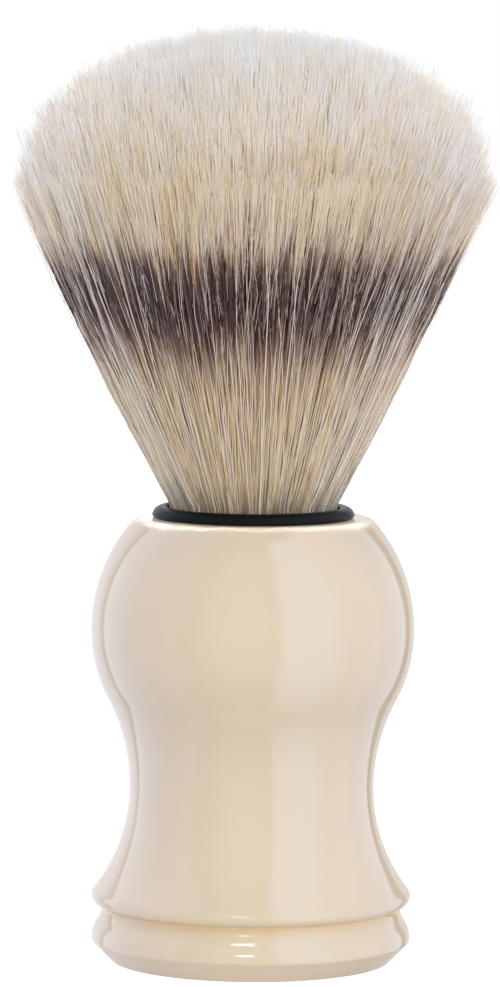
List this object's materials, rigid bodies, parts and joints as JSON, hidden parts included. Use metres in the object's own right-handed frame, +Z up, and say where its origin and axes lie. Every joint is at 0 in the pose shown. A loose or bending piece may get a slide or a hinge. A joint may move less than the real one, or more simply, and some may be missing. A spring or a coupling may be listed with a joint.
{
  "type": "shaving brush",
  "caption": "Shaving brush with a waisted cream resin handle, black ferrule ring and fan-shaped bristle knot with a dark dyed band.",
  "frame": {"origin": "centre of the foot's standing face", "axes": "+Z up along the brush's axis, from the foot to the bristle tips"},
  "size_m": [0.0558, 0.0558, 0.1065],
  "materials": {
    "cream_resin": "gloss",
    "cream_resin_foot": "gloss",
    "cement": "matte",
    "steel": "satin",
    "black_plastic": "satin",
    "knot_glue": "satin",
    "thread": "matte",
    "bristle": "matte"
  },
  "bodies": {
    "root": {"handle_body": "cream_resin", "foot_cap": "cream_resin_foot", "foot_cement": "cement", "ballast_slug": "steel", "knot_ferrule": "black_plastic", "knot_cement": "cement", "root_plug": "knot_glue", "root_binding": "thread", "bristle_knot": "bristle"}
  },
  "joints": []
}
